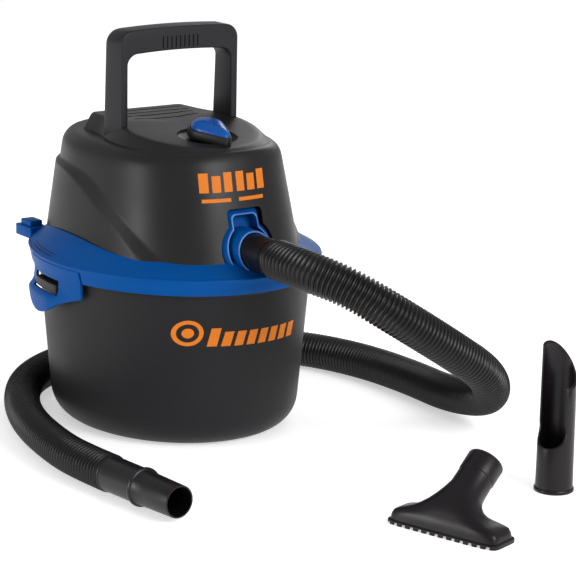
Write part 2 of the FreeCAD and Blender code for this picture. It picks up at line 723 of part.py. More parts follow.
def tangent_path(points):
    """Straight runs joined by arcs, each arc as large as its two runs allow."""
    points = [V(*p) for p in points]
    edges = []
    radii = []
    start = points[0]
    for before, corner, after in zip(points, points[1:], points[2:]):
        run_in = corner - before
        run_out = after - corner
        cut_back = 0.45 * min(run_in.Length, run_out.Length)
        half_turn = run_in.getAngle(run_out) / 2
        radius = cut_back / math.tan(half_turn)
        radii.append(round(radius))
        one = V(run_in).normalize()
        two = V(run_out).normalize()
        arc_in = corner - one * cut_back
        arc_out = corner + two * cut_back
        inward = (two - one).normalize()
        arc_mid = corner + inward * (radius / math.cos(half_turn) - radius)
        edges.append(Part.LineSegment(start, arc_in).toShape())
        edges.append(Part.Arc(arc_in, arc_mid, arc_out).toShape())
        start = arc_out
    edges.append(Part.LineSegment(start, points[-1]).toShape())
    return Part.Wire(edges), radii


def hose():
    path, radii = tangent_path(ROUTE)
    runs = [round((V(*b) - V(*a)).Length) for a, b in zip(ROUTE, ROUTE[1:])]
    start = V(*ROUTE[0])
    direction = V(*ROUTE[1]) - start
    body = swept(path, start, direction, HOSE_R).cut(swept(path, start, direction, HOSE_R - HOSE_WALL))
    section = math.pi * (HOSE_R ** 2 - (HOSE_R - HOSE_WALL) ** 2)
    print("hose runs", runs)
    print("hose radii", radii)
    print(f"hose length {path.Length:.0f}  volume over section times length "
          f"{body.Volume / section / path.Length:.4f}")
    return body


def hose_cuff():
    long = CUFF_BACK - CUFF_END
    cuff = Part.makeCylinder(CUFF_R, long, V(0, CUFF_END, PORT_Z), V(0, 1, 0))
    return cuff.cut(Part.makeCylinder(CUFF_R - CUFF_WALL, long + 2, V(0, CUFF_END - 1, PORT_Z), V(0, 1, 0)))


def hose_end():
    """Smooth adapter at the free end, with the nose that takes the tools."""
    start = V(*ROUTE[-1])
    ahead = (start - V(*ROUTE[-2])).normalize()
    sleeve = Part.makeCylinder(END_SLEEVE_R, END_SLEEVE, start, ahead)
    lip = Part.makeCylinder(LIP_R, LIP_LONG, start + ahead * END_SLEEVE, ahead)
    nose = Part.makeCylinder(END_NOSE_R, END_NOSE + LIP_LONG, start + ahead * END_SLEEVE, ahead)
    bore = Part.makeCylinder(END_BORE_R, END_SLEEVE + END_NOSE + 10, start - ahead, ahead)
    return sleeve.fuse([lip, nose]).cut(bore)


# ---- tools -------------------------------------------------------------------------------------
def crevice_tool():
    """Slightly tapered tube, opened along one side and cut off at a slant."""
    tool = Part.makeCone(CREVICE_R, CREVICE_TIP_R, CREVICE_HIGH, V(0, 0, 0), Z).fuse(cyl(19.5, 0, 4.0))
    tool = tool.cut(cyl(SOCKET_R, -1, 50))
    tool = tool.cut(Part.makeCone(15.8, CREVICE_TIP_R - TOOL_WALL, CREVICE_HIGH - 47, V(0, 0, 49), Z))
    depth = -3.9
    side = [Part.Arc(V(-40, -22, 44), V(-40, -9.5, 50), V(-40, depth, 64)),
            Part.LineSegment(V(-40, depth, 64), V(-40, depth, CREVICE_HIGH + 5)),
            Part.LineSegment(V(-40, depth, CREVICE_HIGH + 5), V(-40, -22, CREVICE_HIGH + 5)),
            Part.LineSegment(V(-40, -22, CREVICE_HIGH + 5), V(-40, -22, 44))]
    opening = Part.Face(Part.Wire([edge.toShape() for edge in side])).extrude(V(80, 0, 0))
    opening.rotate(V(0, 0, 0), Z, CREVICE_FACING)
    slant = [(-40, y, CREVICE_MID + CREVICE_SLANT * y) for y in (-30, 30)]
    above = slant + [(-40, 30, CREVICE_HIGH + 40), (-40, -30, CREVICE_HIGH + 40)]
    tool = tool.cut([opening, Part.Face(polygon(above)).extrude(V(80, 0, 0))])
    tool.translate(V(CREVICE_AT[0], CREVICE_AT[1], 0))
    return tool


def nozzle_section(place, tilt, half_long, half_wide, n):
    """Section across the nozzle, tilted about its long side."""
    points = rounded_points(half_wide, half_long, half_long, n, 40)
    c = math.cos(math.radians(tilt))
    s = math.sin(math.radians(tilt))
    return closed_curve([V(place[0] + x * c, y, place[1] - x * s) for x, y in points])


def nozzle_solid(grow, over, drop):
    """Wide mouth that draws in to the root of the tilted neck. over and drop belong to the hollow."""
    tilt = math.radians(NECK_TILT)
    root = (NECK_ROOT * math.sin(tilt), MOUTH_HIGH + 2 + NECK_ROOT * math.cos(tilt))
    sections = [((0, -over), 0, MOUTH_HALF[0] + grow, MOUTH_HALF[1] + grow, 5.0),
                ((0, MOUTH_HIGH - drop), 0, MOUTH_HALF[0] - 1 + grow, MOUTH_HALF[1] - 1 + grow, 5.0),
                ((2, MOUTH_HIGH + 4.5 - drop), 8, 45 + grow, 18.5 + grow, 4.0),
                ((5.5, MOUTH_HIGH + 9 - drop), 20, 31.5 + grow, 17.8 + grow, 3.0),
                ((13, MOUTH_HIGH + 14.5 - drop / 2), 37, 22.5 + grow, 17.4 + grow, 2.4),
                (root, NECK_TILT, NECK_R - 0.7 + grow, NECK_R - 0.7 + grow, 2.0)]
    return Part.makeLoft([nozzle_section(*section) for section in sections], True, True)


def neck_tube(r, start, end):
    """Cylinder on the neck's axis between two distances from its foot."""
    tilt = math.radians(NECK_TILT)
    ahead = V(math.sin(tilt), 0, math.cos(tilt))
    return Part.makeCylinder(r, end - start, V(0, 0, MOUTH_HIGH + 2) + ahead * start, ahead)


def utility_nozzle():
    tool = nozzle_solid(0, 0, 0).fuse(neck_tube(NECK_R, NECK_ROOT - 2, NECK_LONG))
    tool = tool.cut(nozzle_solid(-TOOL_WALL, 2.0, 1.8)).cut(neck_tube(SOCKET_R, NECK_ROOT - 0.5, NECK_LONG + 5))
    notches = []
    for i in range(12):
        y = -52 + 9.0 * i
        notches.append(box(-30, -12, y, y + 4.0, -1, 3.0))
    tool = tool.cut(notches)
    tool.rotate(V(0, 0, 0), Z, NOZZLE_TURN)
    tool.translate(NOZZLE_AT)
    return tool


# ---- build -------------------------------------------------------------------------------------
PARTS = {
    "tank": tank, "lid_collar": collar, "lid_gasket": lid_gasket, "motor_cover": motor_cover,
    "cover_screws": cover_screws, "exhaust_grille": exhaust_grille, "cord_gland": cord_gland,
    "latch_left": latch, "latch_right": lambda: mirror_x(latch()),
    "handle": handle, "handle_guides": handle_guides,
    "knob_cap": knob_cap, "knob_skirt": knob_skirt, "switch_shaft": switch_shaft,
    "switch_body": switch_body, "motor_plate": motor_plate, "plate_screws": plate_screws,
    "motor_mount_ring": lambda: tube(HOUSING_R, 48.0, 189.5, HOUSING_LOW),
    "blower_housing": blower_housing, "bearings": bearings,
    "rotor_shaft": lambda: cyl(SHAFT_R, 193.0, 301.0), "impeller": impeller,
    "impeller_nut": impeller_nut, "armature": armature,
    "commutator": lambda: tube(11.0, SHAFT_R, 267.0, 276.5), "cooling_fan": cooling_fan,
    "motor_stator": stator, "field_coils": field_coils, "motor_top_bracket": top_bracket,
    "brush_holders": lambda: Part.makeCompound([brush_holder(0), brush_holder(180)]),
    "carbon_brushes": lambda: Part.makeCompound([carbon_brush(0), carbon_brush(180)]),
    "filter_cage": filter_cage, "foam_filter": foam_filter, "retaining_band": retaining_band,
    "float_ball": float_ball, "inlet_elbow": inlet_elbow, "port_seal": port_seal,
    "hose_cuff": hose_cuff, "hose": hose, "hose_end": hose_end,
    "crevice_tool": crevice_tool, "utility_nozzle": utility_nozzle,
}
for name, make in PARTS.items():
    export(name, make())
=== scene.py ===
import json
import math

import bmesh
import bpy
from mathutils import Matrix, Vector


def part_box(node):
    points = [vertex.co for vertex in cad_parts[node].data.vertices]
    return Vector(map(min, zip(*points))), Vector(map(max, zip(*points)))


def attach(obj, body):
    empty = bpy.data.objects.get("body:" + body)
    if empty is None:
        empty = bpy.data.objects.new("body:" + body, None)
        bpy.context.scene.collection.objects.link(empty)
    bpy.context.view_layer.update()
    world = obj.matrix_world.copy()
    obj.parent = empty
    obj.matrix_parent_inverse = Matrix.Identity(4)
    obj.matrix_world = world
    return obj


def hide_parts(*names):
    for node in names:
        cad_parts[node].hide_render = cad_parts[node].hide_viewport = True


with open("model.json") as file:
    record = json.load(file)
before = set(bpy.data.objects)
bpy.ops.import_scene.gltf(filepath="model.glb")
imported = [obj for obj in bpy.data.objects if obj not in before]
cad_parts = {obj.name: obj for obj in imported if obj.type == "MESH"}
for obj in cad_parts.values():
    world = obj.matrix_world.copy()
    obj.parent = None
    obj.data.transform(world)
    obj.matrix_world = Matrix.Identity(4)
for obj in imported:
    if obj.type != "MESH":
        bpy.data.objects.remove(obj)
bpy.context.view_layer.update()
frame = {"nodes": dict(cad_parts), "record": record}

# Lengths are in millimetres in this file and become metres where a mesh is made.
MM = 0.001

# ---- sizes shared with the frame ------------------------------------------------------------------
TANK_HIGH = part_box("tank")[1] / MM
COVER_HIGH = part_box("motor_cover")[1] / MM
NARROW = 0.861                       # width over length of the tank's and collar's ovals
TANK_TOP = TANK_HIGH.z
BEAD_B = TANK_HIGH.y                 # half length at the rim bead
TANK_BASE_B = 142.0
TANK_TAPER = 0.0943
BASE_ROUND = 32.0
TANK_WALL = 2.5

BAND_LOW, BAND_B = 165.5, 166.0
RIDGE_Z, RIDGE_B = 182.0, 169.5
SKIRT_RISE = 1.98                    # mm of half length lost per mm of height on the skirt
PAN_LOW, PAN_TOP = 183.0, 186.0
MOTOR_EYE_R = 13.0

HEAD_N, HEAD_CY, HEAD_REF = 2.35, 2.0, 195.0
HEAD_SIZE = (111.0, 147.0, 151.0)    # half width, front and back at HEAD_REF
HEAD_LEAN = (0.14, 0.28, 0.125)
SHOULDER_LOW, SHOULDER_TOP = 284.0, 299.0
SHOULDER_IN = (14.0, 5.0, 9.0)
HEAD_SKIN = 2.8

DECK_TOP = COVER_HIGH.z
DECK_FOLD, DECK_SLOPE = 5.0, 0.125
KNOB_Y, KNOB_R, KNOB_TIP = -62.0, 18.0, 37.0
PORT_Z, PORT_IN = 204.0, 18.6
PORT_LEAN = 0.289                    # mm back per mm up on the port ring's cut face

NOZZLE_AT = Vector((12.5, -457.5, 0))
NOZZLE_TURN, NECK_TILT, NECK_BASE = 17.0, 54.0, 14.0   # degrees, degrees, mm

# The hose's route, as in the CAD model.
ROUTE = [
    (0, -182, 204), (0, -224, 203), (28, -269, 190), (67, -296, 162), (124, -303, 125),
    (190, -294, 83), (236, -244, 39), (249, -163, 20), (255, -80, 20), (250, 0, 20), (226, 74, 20),
    (176, 132, 20), (109, 170, 20), (34, 184, 20), (-40, 172, 20), (-105, 130, 20),
    (-150, 64, 20), (-182, -15, 20), (-198, -103, 20), (-199.5, -155, 20), (-195.2, -199, 20),
]


# ---- camera, floor and lights ---------------------------------------------------------------------
def camera():
    azimuth, elevation, roll = -0.6109, 0.240, 0.0171
    back = Vector((math.sin(azimuth) * math.cos(elevation),
                   -math.cos(azimuth) * math.cos(elevation), math.sin(elevation)))
    right = Vector((math.cos(azimuth), math.sin(azimuth), 0))
    up = back.cross(right)
    aim_right, aim_height, distance = 0.120, 0.1373, 2.508
    place = right * aim_right + Vector((0, 0, aim_height)) + back * distance
    rolled_right = math.cos(roll) * right + math.sin(roll) * up
    rolled_up = math.cos(roll) * up - math.sin(roll) * right
    data = bpy.data.cameras.new("camera")
    data.lens = 148.9
    data.sensor_width = 36.0
    data.clip_end = 20.0
    cam = bpy.data.objects.new("camera", data)
    bpy.context.scene.collection.objects.link(cam)
    turn = Matrix((rolled_right, rolled_up, back)).transposed().to_4x4()
    cam.matrix_world = Matrix.Translation(place) @ turn
    bpy.context.scene.camera = cam


def area_light(name, place, target, size, power):
    data = bpy.data.lights.new(name, "AREA")
    data.shape = "RECTANGLE"
    data.size, data.size_y = size
    data.energy = power
    light = bpy.data.objects.new(name, data)
    bpy.context.scene.collection.objects.link(light)
    light.location = place
    light.rotation_euler = (Vector(target) - Vector(place)).to_track_quat("-Z", "Y").to_euler()
    return light


def studio():
    world = bpy.data.worlds.new("studio")
    world.use_nodes = True
    world.node_tree.nodes["Background"].inputs["Color"].default_value = (1, 1, 1, 1)
    world.node_tree.nodes["Background"].inputs["Strength"].default_value = 0.5
    bpy.context.scene.world = world
    area_light("key", (0.5, -2.7, 1.5), (0.05, -0.1, 0.15), (1.5, 1.2), 56)
    area_light("side_strip", (-2.3, 0.35, 0.40), (-0.1, -0.05, 0.24), (0.4, 1.1), 22)
    area_light("rim", (1.9, 1.4, 1.4), (0, 0, 0.2), (1.0, 1.2), 12)
    bpy.ops.mesh.primitive_plane_add(size=14, location=(0, 0, -0.0002))
    floor = bpy.context.object
    floor.name = "floor"
    material = bpy.data.materials.new("floor_white")
    material.use_nodes = True
    shader = material.node_tree.nodes["Principled BSDF"]
    shader.inputs["Base Color"].default_value = (0.9, 0.9, 0.9, 1)
    shader.inputs["Roughness"].default_value = 0.85
    shader.inputs["Emission Color"].default_value = (1, 1, 1, 1)
    shader.inputs["Emission Strength"].default_value = 0.52
    floor.data.materials.append(material)
    bpy.context.scene.view_settings.view_transform = "Standard"


# ---- materials ------------------------------------------------------------------------------------
def moulded(name, colour, rough, grain=0.12, scale=900.0, shift=0.12, metal=0.0, bevel=0.0, shine=0.25):
    """Moulded surface: fine grain in the bump, drifting roughness and a slight change of tone."""
    material = bpy.data.materials.new(name)
    material.use_nodes = True
    tree = material.node_tree
    shader = tree.nodes["Principled BSDF"]
    shader.inputs["Metallic"].default_value = metal
    shader.inputs["Specular IOR Level"].default_value = 0.5 if metal else shine
    link = tree.links.new
    where = tree.nodes.new("ShaderNodeTexCoord")
    broad = tree.nodes.new("ShaderNodeTexNoise")
    broad.inputs["Scale"].default_value = 14.0
    broad.inputs["Detail"].default_value = 4.0
    link(where.outputs["Object"], broad.inputs["Vector"])
    fine = tree.nodes.new("ShaderNodeTexNoise")
    fine.inputs["Scale"].default_value = scale
    fine.inputs["Detail"].default_value = 2.0
    link(where.outputs["Object"], fine.inputs["Vector"])
    tone = tree.nodes.new("ShaderNodeMix")
    tone.data_type = "RGBA"          # its factor is input 0, its colours are inputs 6 and 7
    tone.inputs[6].default_value = (*[c * (1 - shift) for c in colour], 1)
    tone.inputs[7].default_value = (*[min(1.0, c * (1 + shift)) for c in colour], 1)
    link(broad.outputs["Fac"], tone.inputs[0])
    link(tone.outputs[2], shader.inputs["Base Color"])
    sum_noise = tree.nodes.new("ShaderNodeMath")
    sum_noise.operation = "MULTIPLY_ADD"
    sum_noise.inputs[1].default_value = 0.35
    link(fine.outputs["Fac"], sum_noise.inputs[0])
    link(broad.outputs["Fac"], sum_noise.inputs[2])
    spread = tree.nodes.new("ShaderNodeMapRange")
    spread.inputs["From Min"].default_value = 0.35
    spread.inputs["From Max"].default_value = 1.0
    spread.inputs["To Min"].default_value = max(0.05, rough - 0.07)
    spread.inputs["To Max"].default_value = min(1.0, rough + 0.09)
    link(sum_noise.outputs[0], spread.inputs["Value"])
    link(spread.outputs[0], shader.inputs["Roughness"])
    bump = tree.nodes.new("ShaderNodeBump")
    bump.inputs["Strength"].default_value = grain
    bump.inputs["Distance"].default_value = 0.0004
    link(fine.outputs["Fac"], bump.inputs["Height"])
    if bevel:
        rounding = tree.nodes.new("ShaderNodeBevel")
        rounding.inputs["Radius"].default_value = bevel * MM
        link(rounding.outputs[0], bump.inputs["Normal"])
    link(bump.outputs[0], shader.inputs["Normal"])
    return material


def make_materials():
    m = {
        "tank_black": moulded("tank_black", (0.0105, 0.0098, 0.0112), 0.46, shine=0.18),
        "cover_grey": moulded("cover_grey", (0.0115, 0.0108, 0.0112), 0.38, shine=0.22),
        "handle_grey": moulded("handle_grey", (0.0135, 0.0125, 0.0155), 0.42, shine=0.2),
        "collar_blue": moulded("collar_blue", (0.0003, 0.062, 0.252), 0.36, grain=0.06, shine=0.06),
        # Paler blue for the port's rim edges: a painted highlight along the thin edges.
        "painted_highlight_blue": moulded("painted_highlight_blue", (0.06, 0.15, 0.42), 0.30, grain=0.03),
        # Dark blue for the skirt's grooves: painted shade, standing in for the shadow inside a groove.
        "painted_groove_shade": moulded("painted_groove_shade", (0.001, 0.014, 0.07), 0.5, shine=0.1),
        "knob_blue": moulded("knob_blue", (0.002, 0.070, 0.31), 0.26, grain=0.05, shine=0.22),
        "black_plastic": moulded("black_plastic", (0.010, 0.010, 0.0105), 0.45, bevel=0.5),
        "hose_black": moulded("hose_black", (0.0045, 0.0042, 0.0046), 0.32, grain=0.08, shine=0.34),
        "tool_black": moulded("tool_black", (0.0055, 0.0036, 0.0050), 0.34, grain=0.10, shine=0.28),
        "decal_orange": moulded("decal_orange", (0.62, 0.165, 0.012), 0.5, grain=0.04, shift=0.05,
                                shine=0.15),
        "seal_rubber": moulded("seal_rubber", (0.012, 0.012, 0.012), 0.7, grain=0.3, bevel=0.3),
        "zinc_steel": moulded("zinc_steel", (0.60, 0.60, 0.60), 0.28, metal=1.0, scale=300, bevel=0.3),
        "bright_aluminium": moulded("bright_aluminium", (0.75, 0.75, 0.76), 0.36, metal=1.0, bevel=0.4),
        "core_steel": moulded("core_steel", (0.30, 0.30, 0.31), 0.42, metal=1.0, scale=500, grain=0.4),
        "copper": moulded("copper", (0.72, 0.33, 0.16), 0.32, metal=1.0, scale=400, grain=0.4),
        "brass": moulded("brass", (0.75, 0.56, 0.25), 0.3, metal=1.0, bevel=0.3),
        "foam": moulded("foam", (0.035, 0.035, 0.037), 0.95, grain=1.0, scale=420, shift=0.5),
        "white_plastic": moulded("white_plastic", (0.75, 0.75, 0.73), 0.35, bevel=0.3),
    }
    return m


# ---- mesh helpers ---------------------------------------------------------------------------------
def settle(obj):
    """Applies every modifier."""
    depsgraph = bpy.context.evaluated_depsgraph_get()
    mesh = bpy.data.meshes.new_from_object(obj.evaluated_get(depsgraph))
    obj.modifiers.clear()
    obj.data = mesh


def shade(obj, angle=34.0):
    bm = bmesh.new()
    bm.from_mesh(obj.data)
    bmesh.ops.recalc_face_normals(bm, faces=bm.faces)
    for face in bm.faces:
        face.smooth = True
    limit = math.radians(angle)
    for edge in bm.edges:
        edge.smooth = len(edge.link_faces) == 2 and edge.calc_face_angle(0.0) < limit
    bm.to_mesh(obj.data)
    bm.free()


def solid(name, verts, faces):
    mesh = bpy.data.meshes.new(name)
    mesh.from_pydata([Vector(v) * MM for v in verts], [], faces)
    mesh.validate()
    obj = bpy.data.objects.new(name, mesh)
    bpy.context.scene.collection.objects.link(obj)
    bm = bmesh.new()
    bm.from_mesh(mesh)
    bmesh.ops.remove_doubles(bm, verts=bm.verts, dist=1e-6)
    bmesh.ops.recalc_face_normals(bm, faces=bm.faces)
    bm.to_mesh(mesh)
    bm.free()
    return obj


def skin(name, loops, cap=True, ring=False):
    """Solid through closed loops of equally many points; ring joins the last loop to the first."""
    count = len(loops[0])
    verts = [p for loop in loops for p in loop]
    faces = []
    spans = len(loops) if ring else len(loops) - 1
    for j in range(spans):
        low = j * count
        high = ((j + 1) % len(loops)) * count
        for i in range(count):
            k = (i + 1) % count
            faces.append((low + i, low + k, high + k, high + i))
    if cap and not ring:
        for base, loop in ((0, loops[0]), ((len(loops) - 1) * count, loops[-1])):
            centre = sum((Vector(p) for p in loop), Vector()) / count
            verts.append(tuple(centre))
            for i in range(count):
                faces.append((base + i, base + (i + 1) % count, len(verts) - 1))
    return solid(name, verts, faces)


def prism(name, outline, axis, low, high):
    """Outline of (u, v) points drawn out along an axis from low to high."""
    def place(u, v, w):
        return {"x": (w, u, v), "y": (u, w, v), "z": (u, v, w)}[axis]
    count = len(outline)
    verts = [place(u, v, low) for u, v in outline] + [place(u, v, high) for u, v in outline]
    faces = [tuple(range(count)), tuple(range(count, 2 * count))]
    for i in range(count):
        k = (i + 1) % count
        faces.append((i, k, count + k, count + i))
    return solid(name, verts, faces)


def block(name, x0, x1, y0, y1, z0, z1):
    return prism(name, [(x0, y0), (x1, y0), (x1, y1), (x0, y1)], "z", z0, z1)


def stepped(start, end, step):
    """Places from start, each a step further, that lie before end."""
    places = []
    while start < end:
        places.append(start)
        start += step
    return places


def slice_faces(bm, axis, places):
    """Divides every face where it crosses the planes at the given places along an axis."""
    for at in places:
        bmesh.ops.bisect_plane(bm, geom=bm.verts[:] + bm.edges[:] + bm.faces[:],
                               plane_co=Vector(axis) * at, plane_no=axis)


def doubled(bm):
    """Extrudes all faces in place and gives the front and rear vertices."""
    front = list(bm.verts)
    extruded = bmesh.ops.extrude_face_region(bm, geom=bm.faces[:], use_keep_orig=True)
    return front, [g for g in extruded["geom"] if isinstance(g, bmesh.types.BMVert)]


def from_bmesh(name, bm):
    """Object made from a bmesh in millimetres, which it frees."""
    bmesh.ops.scale(bm, vec=(MM, MM, MM), verts=bm.verts)
    mesh = bpy.data.meshes.new(name)
    bm.to_mesh(mesh)
    bm.free()
    obj = bpy.data.objects.new(name, mesh)
    bpy.context.scene.collection.objects.link(obj)
    return obj


def cut(obj, cutters):
    for cutter in cutters:
        step = obj.modifiers.new("cut", "BOOLEAN")
        step.operation = "DIFFERENCE"
        step.solver = "EXACT"
        step.object = cutter
    settle(obj)
    for cutter in cutters:
        bpy.data.objects.remove(cutter)


def bevel(obj, width, segments=3, angle=35.0):
    step = obj.modifiers.new("bevel", "BEVEL")
    step.width = width * MM
    step.segments = segments
    step.limit_method = "ANGLE"
    step.angle_limit = math.radians(angle)
    step.use_clamp_overlap = True
    settle(obj)


def finish_piece(obj, body, slot, *nodes, material=None, angle=34.0):
    shade(obj, angle)
    obj.data.materials.clear()
    obj.data.materials.append(MATERIAL[material or slot])
    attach(obj, body)
    if nodes:
        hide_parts(*nodes)
    return obj


def mirrored(obj, name):
    copy = obj.copy()
    copy.data = obj.data.copy()
    copy.name = name
    copy.data.transform(Matrix.Scale(-1, 4, (1, 0, 0)))
    bpy.context.scene.collection.objects.link(copy)
    return copy


def ease(t):
    t = min(1.0, max(0.0, t))
    return t * t * (3 - 2 * t)


def flattened(value, power):
    return math.copysign(abs(value) ** power, value)


def circle_turns(count):
    return [2 * math.pi * i / count for i in range(count)]


def circle(r, z, count):
    return [(r * math.cos(t), r * math.sin(t), z) for t in circle_turns(count)]


# ---- outlines -------------------------------------------------------------------------------------
def oval(b, z, count=224):
    return [(NARROW * b * math.cos(t), b * math.sin(t), z) for t in circle_turns(count)]


def tank_b(z):
    return TANK_BASE_B + TANK_TAPER * z


def head_size(z, grow=0.0):
    sizes = []
    for size, lean, turn_in in zip(HEAD_SIZE, HEAD_LEAN, SHOULDER_IN):
        value = size - lean * (z - HEAD_REF) + grow
        rise = min(1.0, max(0.0, (z - SHOULDER_LOW) / (SHOULDER_TOP - SHOULDER_LOW)))
        sizes.append(value - turn_in * (1 - math.sqrt(1 - rise * rise)))
    return sizes


def head_point(turn, z, grow=0.0):
    half, front, back = head_size(z, grow)
    c, s = math.cos(turn), math.sin(turn)
    x = flattened(c, 2 / HEAD_N) * half
    y = flattened(s, 2 / HEAD_N) * (back if s > 0 else front)
    return x, y + HEAD_CY


def head_front_y(x, z):
    half, front, _ = head_size(z)
    return HEAD_CY - front * (1 - (abs(x) / half) ** HEAD_N) ** (1 / HEAD_N)


def crease_z(y):
    """Height of the side panel's curved edge, which drops towards the front."""
    u = max(0.0, (61.0 - y) / 156.0)
    return 265.0 - 75.0 * u ** 1.65


def panel_out(y, z):
    """How far the side panel stands out of the cover; a flat chamfer runs along its edge."""
    band = 4.0 + 11.0 * ease((61.0 - y) / 75.0)
    share = (crease_z(y) + band - z) / band
    return 4.0 * min(1.0, max(0.0, share))


def cover_point(turn, z, grow=0.0):
    x, y = head_point(turn, z)
    side = ease((abs(x) - 20) / 40.0) if y > 0 else 1.0
    out = grow + panel_out(y, z) * max(side, ease((y - 60) / 40.0))
    away = Vector((x, y * 0.55, 0)).normalized()
    return x + away.x * out, y + away.y * out


# ---- tank -----------------------------------------------------------------------------------------
def tank_profile(inset, floor):
    lean = math.atan(TANK_TAPER)
    steps = 10
    corner_z = BASE_ROUND * (1 - math.sin(lean))
    centre = tank_b(corner_z) - BASE_ROUND * math.cos(lean)
    rows = []
    for i in range(steps + 1):
        turn = (math.pi / 2 - lean) * i / steps
        rows.append((centre + BASE_ROUND * math.sin(turn) - inset,
                     BASE_ROUND * (1 - math.cos(turn)) + floor))
    return rows


def tank():
    rows = [(60.0, 0.8), (88.0, 0.8), (89.5, 0.0)] + tank_profile(0, 0)
    rows += [(tank_b(z), z) for z in (60, 90, 120, 145, 160, 163.5)]
    rows += [(BEAD_B - 1.2, 165.4), (BEAD_B - 0.3, 166.4), (BEAD_B, 167.2), (BEAD_B, TANK_TOP - 1.2),
             (BEAD_B - 0.4, TANK_TOP - 0.3), (BEAD_B - 1.2, TANK_TOP), (156.4, TANK_TOP),
             (155.7, TANK_TOP - 0.8)]
    rows += [(tank_b(z) - TANK_WALL, z) for z in (160, 120, 60)]
    rows += list(reversed(tank_profile(TANK_WALL, 3.0))) + [(60.0, 3.0)]
    shell = skin("tank_shell", [oval(b, z) for b, z in rows])
    return finish_piece(shell, "tank", "tank_black", "tank", angle=50)


def wall_plate(name, outline, outer_b, inner_b, push=None):
    """Plate bent round the left side of the oval. Outline is in (y, z), the b values set its skins."""
    bm = bmesh.new()
    bm.faces.new([bm.verts.new((0, y, z)) for y, z in outline])
    ys = [y for y, _ in outline]
    zs = [z for _, z in outline]
    for axis, low, high, step in (((0, 1, 0), min(ys), max(ys), 5.0), ((0, 0, 1), min(zs), max(zs), 4.0)):
        slice_faces(bm, axis, stepped(low + step, high - 1, step))
    front, rear = doubled(bm)
    for verts, b_of in ((front, outer_b), (rear, inner_b)):
        for v in verts:
            b = b_of(v.co.z)
            shift = push(v.co.y, v.co.z) if push else 0.0
            v.co.x = -NARROW * math.sqrt(b * b - v.co.y ** 2) - shift
    bmesh.ops.recalc_face_normals(bm, faces=bm.faces)
    return from_bmesh(name, bm)


def tank_lugs():
    outline = [(-4, 147.8), (47, 147.8), (47, 157), (-4, 157)]
    left = wall_plate("tank_lug_left", outline, lambda z: 168.0, lambda z: tank_b(z) - 0.5)
    bevel(left, 0.9, 2, 50)
    right = mirrored(left, "tank_lug_right")
    for lug in (left, right):
        finish_piece(lug, "tank", "tank_black", "tank", material="black_plastic")


# ---- collar ---------------------------------------------------------------------------------------
def skirt_z(x, y):
    """Height of the skirt's outer surface over a point. It climbs further beside the back of the cover."""
    inward = RIDGE_B - math.hypot(x / NARROW, y)
    return RIDGE_Z + inward / SKIRT_RISE + 6.0 * ease((y + 80) / 150.0) * ease(inward / 32.0)


def collar():
    count = 288
    turns = circle_turns(count)
    rows = [(BAND_B - 3.0, BAND_LOW + 0.6), (BAND_B - 2.5, BAND_LOW), (BAND_B - 0.6, BAND_LOW),
            (BAND_B, BAND_LOW + 0.6), (BAND_B + 1.7, 173.5), (RIDGE_B - 0.5, RIDGE_Z - 2.6),
            (RIDGE_B + 0.3, RIDGE_Z - 1.6), (RIDGE_B + 0.6, RIDGE_Z - 0.8), (RIDGE_B + 0.3, RIDGE_Z),
            (RIDGE_B - 0.6, RIDGE_Z + 0.7), (RIDGE_B - 2.2, RIDGE_Z + 0.8),
            (RIDGE_B - 3.4, RIDGE_Z + 1.5)]
    loops = [oval(b, z, count) for b, z in rows]
    rim = [cover_point(t, 203.0, 1.3) for t in turns]
    start = [(x, y) for x, y, _ in loops[-1]]
    for share in (0.12, 0.25, 0.4, 0.55, 0.7, 0.85, 0.95, 0.985):
        loop = []
        for (x0, y0), (x1, y1) in zip(start, rim):
            x = x0 + (x1 - x0) * share
            y = y0 + (y1 - y0) * share
            loop.append((x, y, skirt_z(x, y)))
        loops.append(loop)
    loops.append([(x, y, skirt_z(x, y) - 0.6) for x, y in rim])
    loops.append([(x, y, PAN_TOP) for x, y in rim])
    loops += [circle(MOTOR_EYE_R, z, count) for z in (PAN_TOP, PAN_LOW)]
    wall = [head_point(t, 200.0, 3.0) for t in turns]
    inward = [(x * 0.93, y * 0.93) for x, y in wall]
    loops.append([(x, y, PAN_LOW) for x, y in inward])
    loops.append(oval(150.0, 176.0, count))
    loops.append(oval(162.2, 176.0, count))
    loops.append(oval(BAND_B - 0.4, RIDGE_Z - 4, count))
    ring = skin("collar_ring", loops, ring=True)
    notch = []
    for side in (-1, 1):
        inner, outer = sorted((side * 90, side * 200))
        notch.append(block("notch", inner, outer, -45.6, 61.0, 150, 177.4))
    cut(ring, notch)
    return finish_piece(ring, "lid", "collar_blue", "lid_collar", angle=38)


def collar_grooves():
    """Two short beads on the skirt beside each latch, in a dark blue that is painted shade standing in for
    grooves.
    """
    made = []
    for row, b in enumerate((RIDGE_B - 5.0, RIDGE_B - 8.2)):
        y0, y1 = 6.0 - 8 * row, 78.0
        loops = []
        steps = 28
        for i in range(steps + 1):
            y = y0 + (y1 - y0) * i / steps
            swell = 0.75 * math.sin(math.pi * i / steps) ** 0.4 + 0.02
            x = -NARROW * math.sqrt(b * b - y * y)
            z = skirt_z(x, y)
            loops.append([(x + swell * 1.2 * math.cos(t), y, z - 0.25 + swell * 0.55 * math.sin(t))
                          for t in circle_turns(10)])
        made.append(skin("collar_groove_left_%d" % (row + 1), loops))
    for groove in list(made):
        made.append(mirrored(groove, groove.name.replace("left", "right")))
    for groove in made:
        # The beads take a dark blue that is painted shade for the grooves.
        finish_piece(groove, "lid", "collar_blue", "lid_collar", material="painted_groove_shade", angle=80)


def brackets():
    plate = block("tool_bracket_left", -106, -84, 118, 151, 177, 189)
    bevel(plate, 1.2, 3)
    top = block("tool_bracket_left_top", -103, -88, 124, 145, 188.5, 195)
    bevel(top, 1.2, 3)
    pieces = [plate, top, mirrored(plate, "tool_bracket_right"), mirrored(top, "tool_bracket_right_top")]
    for piece in pieces:
        finish_piece(piece, "lid", "collar_blue", "lid_collar")


